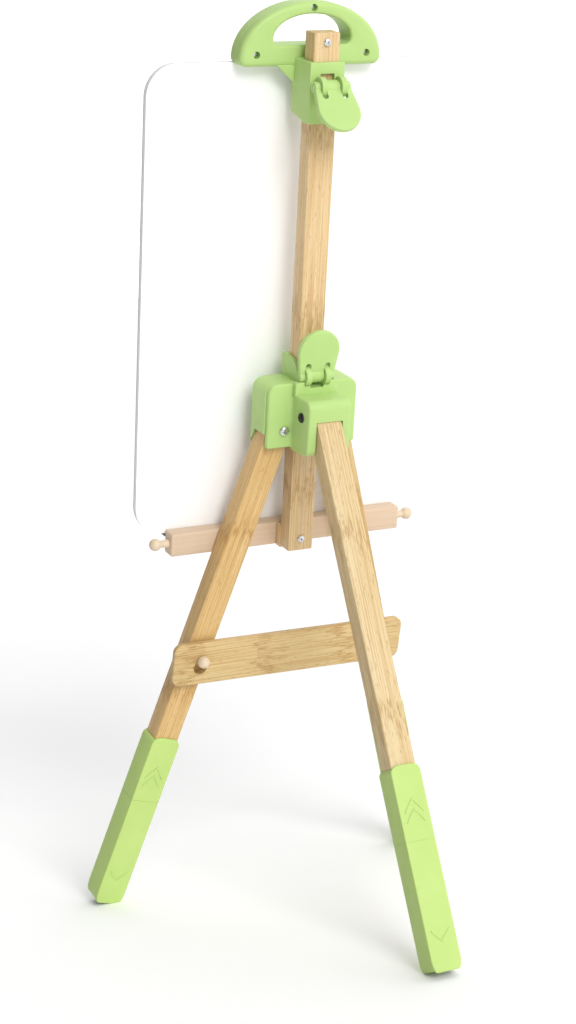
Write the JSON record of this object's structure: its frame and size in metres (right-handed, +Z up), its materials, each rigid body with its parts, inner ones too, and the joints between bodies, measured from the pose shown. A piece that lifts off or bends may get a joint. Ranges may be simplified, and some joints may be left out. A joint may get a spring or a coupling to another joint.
{
  "type": "folding tripod easel",
  "caption": "Folding children's easel: sliding bamboo mast, splayed legs in reversible boots, cross brace, tray rail, and a drawing board held by a green clip with a grip.",
  "frame": {"origin": "on the floor at the middle of the standing easel's box", "axes": "+Z up, +Y to the back where the rear leg stands, +X to the left of a person who looks from the back at the board's rear face"},
  "size_m": [0.519, 0.5428, 1.1846],
  "materials": {
    "bamboo": "satin clear lacquer over laminated bamboo",
    "pale_wood": "satin",
    "green_plastic": "fine satin moulding",
    "grey_plastic": "satin",
    "white_laminate": "glossy dry-wipe laminate",
    "painted_core": "white painted fibreboard edge",
    "chalk_face": "matt chalk face",
    "plated_steel": "bright zinc plate",
    "nylon": "natural"
  },
  "bodies": {
    "hub": {"hub_front_shell": "green_plastic", "hub_rear_cover": "green_plastic", "hub_cover_screw_left": "plated_steel", "hub_cover_screw_right": "plated_steel", "hub_lever_pin": "plated_steel", "leg_pivot_bolt_left": "plated_steel", "leg_pivot_bolt_right": "plated_steel", "leg_pivot_nut_left": "plated_steel", "leg_pivot_nut_right": "plated_steel", "rear_leg_bolt": "plated_steel", "rear_leg_nut": "plated_steel", "rear_leg_washer_left": "nylon", "rear_leg_washer_right": "nylon"},
    "hub_lever": {"hub_lever": "green_plastic"},
    "mast": {"mast": "bamboo", "mast_stop_screw": "plated_steel", "rail_screw": "plated_steel", "rail_spacer": "bamboo", "tray_rail": "pale_wood", "rail_peg_left": "pale_wood", "rail_peg_right": "pale_wood", "board_ledge": "grey_plastic", "ledge_screw_left": "plated_steel", "ledge_screw_middle": "plated_steel", "ledge_screw_right": "plated_steel", "board_back_sheet": "white_laminate", "board_core": "painted_core", "board_writing_sheet": "chalk_face"},
    "clip": {"clip_rear_shell": "green_plastic", "clip_front_shell": "green_plastic", "clip_screw_left": "plated_steel", "clip_screw_right": "plated_steel", "clip_screw_top": "plated_steel", "clip_lever_pin": "plated_steel"},
    "clip_lever": {"clip_lever": "green_plastic"},
    "front_leg_left": {"front_leg_left": "bamboo", "leg_bush_left": "nylon", "brace_knob": "pale_wood"},
    "front_leg_right": {"front_leg_right": "bamboo", "leg_bush_right": "nylon", "brace_rest_peg": "pale_wood"},
    "rear_leg": {"rear_leg": "bamboo", "leg_bush_rear": "nylon"},
    "boot_left": {"boot_left": "green_plastic"},
    "boot_right": {"boot_right": "green_plastic"},
    "boot_rear": {"boot_rear": "green_plastic"},
    "brace": {"cross_brace": "bamboo"}
  },
  "joints": [
    {"name": "mast_slide", "type": "slide", "parent": "hub", "child": "mast", "axis": [0, 0.2164, 0.9763], "range_m": [0, 0.11]},
    {"name": "clip_slide", "type": "slide", "parent": "mast", "child": "clip", "axis": [0, 0.2164, 0.9763], "range_m": [0, 0.016]},
    {"name": "clip_lever_swing", "type": "hinge", "parent": "clip", "child": "clip_lever", "pos_m": [0, 0.0655, 1.07425], "axis": [1, 0, 0], "range_deg": [-33, 48]},
    {"name": "hub_lever_swing", "type": "hinge", "parent": "hub", "child": "hub_lever", "pos_m": [0, -0.01324, 0.71907], "axis": [-1, 0, 0], "range_deg": [0, 78]},
    {"name": "front_leg_left_fold", "type": "hinge", "parent": "hub", "child": "front_leg_left", "pos_m": [0.0397, -0.03988, 0.65322], "axis": [0, 0.9558, -0.294], "range_deg": [0, 17]},
    {"name": "front_leg_right_fold", "type": "hinge", "parent": "hub", "child": "front_leg_right", "pos_m": [-0.0397, -0.03988, 0.65322], "axis": [0, 0.9558, -0.294], "range_deg": [-17, 0]},
    {"name": "rear_leg_fold", "type": "hinge", "parent": "hub", "child": "rear_leg", "pos_m": [0, 0.00272, 0.66862], "axis": [-1, 0, 0], "range_deg": [0, 37]},
    {"name": "brace_fold", "type": "hinge", "parent": "front_leg_left", "child": "brace", "pos_m": [0.13361, -0.13251, 0.35215], "axis": [0, 0.9558, -0.294], "range_deg": [0, 34]},
    {"name": "boot_left_slide", "type": "slide", "parent": "front_leg_left", "child": "boot_left", "axis": [0.2857, -0.2818, -0.916], "range_m": [0, 0.085]},
    {"name": "boot_right_slide", "type": "slide", "parent": "front_leg_right", "child": "boot_right", "axis": [-0.2857, -0.2818, -0.916], "range_m": [0, 0.085]},
    {"name": "boot_rear_slide", "type": "slide", "parent": "rear_leg", "child": "boot_rear", "axis": [0, 0.3551, -0.9348], "range_m": [0, 0.085]}
  ],
  "couplings": [
    {"joint": "front_leg_right_fold", "follows": "front_leg_left_fold", "ratio": -1},
    {"joint": "brace_fold", "follows": "front_leg_left_fold", "ratio": 2}
  ]
}
